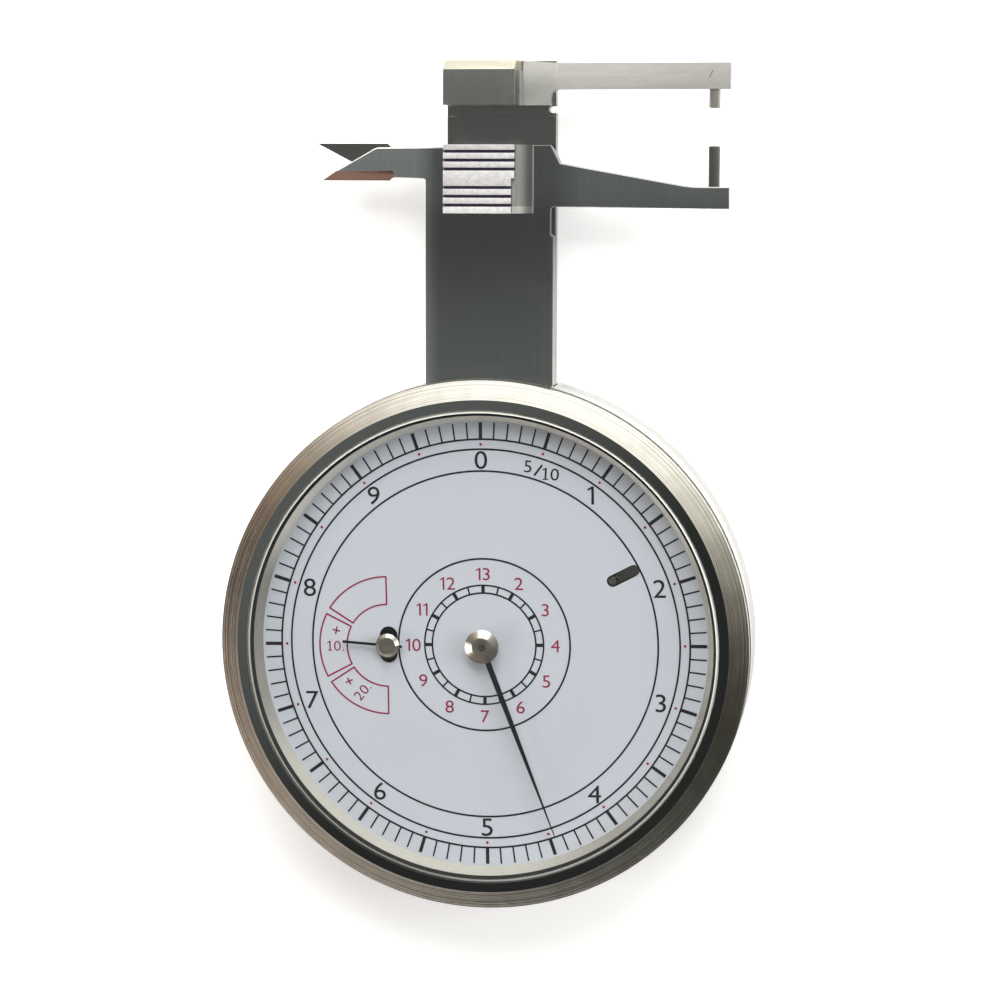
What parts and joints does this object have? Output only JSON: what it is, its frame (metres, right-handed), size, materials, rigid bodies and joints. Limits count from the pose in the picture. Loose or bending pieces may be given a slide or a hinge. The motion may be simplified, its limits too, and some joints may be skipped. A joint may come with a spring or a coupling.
{
  "type": "dial gauge for gemstones",
  "caption": "Dial gauge with a flat stem, a fixed head, a thumb slide, two outside arms with measuring pins and two inside knife jaws.",
  "frame": {"origin": "centre of the case's flat back face, on the case's axis", "axes": "+Z out of the dial, +Y along the stem away from the case, +X to the right of the dial"},
  "size_m": [0.065, 0.1031, 0.0131],
  "materials": {
    "case_steel": "turned and polished",
    "crystal_glass": "clear, polished",
    "gasket_rubber": "matt",
    "dial_enamel": "satin white",
    "plain_steel": "plain",
    "screw_steel": "turned",
    "plate_brass": "brushed",
    "gear_brass": "cut and deburred",
    "stem_steel": "ground and polished, reflects dark",
    "arm_steel": "lapped, matt",
    "grip_steel": "bright milled ridges",
    "pin_steel": "ground",
    "hand_black": "satin black",
    "hub_steel": "turned bright"
  },
  "bodies": {
    "case": {"case_body": "case_steel", "bezel": "case_steel", "crystal": "crystal_glass", "crystal_gasket": "gasket_rubber", "dial_ring": "plain_steel", "plate_screws": "screw_steel", "movement_plate": "plate_brass", "beam": "stem_steel", "upper_arm": "arm_steel", "upper_pin": "pin_steel", "top_block": "stem_steel", "head_rivets": "screw_steel", "left_guide": "plate_brass", "right_guide": "plate_brass", "brake_spring": "plain_steel", "frame_screws": "screw_steel", "lower_bush": "gear_brass", "upper_bush": "gear_brass", "counter_stud": "screw_steel"},
    "slide_unit": {"slide": "stem_steel", "lower_pin": "pin_steel", "thumb_grip": "grip_steel", "grip_rivets": "screw_steel", "rack": "gear_brass", "rack_screws": "screw_steel"},
    "centre_unit": {"centre_arbor": "screw_steel", "rack_pinion": "gear_brass", "motion_pinion": "gear_brass", "main_hand": "hand_black", "main_hub": "hub_steel"},
    "counter_unit": {"counter_wheel": "gear_brass", "small_hand": "hand_black", "small_hub": "hub_steel"},
    "dial_unit": {"dial": "dial_enamel"},
    "setter_unit": {"zero_setter": "screw_steel"}
  },
  "joints": [
    {"name": "jaw_slide", "type": "slide", "parent": "case", "child": "slide_unit", "axis": [0, -1, 0], "range_m": [-0.0045, 0.0195]},
    {"name": "main_hand_turn", "type": "hinge", "parent": "case", "child": "centre_unit", "pos_m": [0, 0, 0.006], "axis": [0, 0, 1], "range_deg": [-703, 163]},
    {"name": "small_hand_turn", "type": "hinge", "parent": "case", "child": "counter_unit", "pos_m": [-0.01176, -0.00023, 0.009], "axis": [0, 0, 1], "range_deg": [-28, 118]},
    {"name": "zero_set", "type": "hinge", "parent": "case", "child": "setter_unit", "pos_m": [0.01704, 0.00891, 0.005], "axis": [0, 0, 1], "range_deg": [-30, 30]},
    {"name": "dial_turn", "type": "hinge", "parent": "case", "child": "dial_unit", "pos_m": [0, 0, 0.0101], "axis": [0, 0, 1], "range_deg": [-2.5, 2.5]}
  ],
  "couplings": [
    {"joint": "main_hand_turn", "follows": "jaw_slide", "rad_per_m": -628.32},
    {"joint": "small_hand_turn", "follows": "jaw_slide", "rad_per_m": 104.72},
    {"joint": "dial_turn", "follows": "zero_set", "ratio": -0.08034}
  ]
}
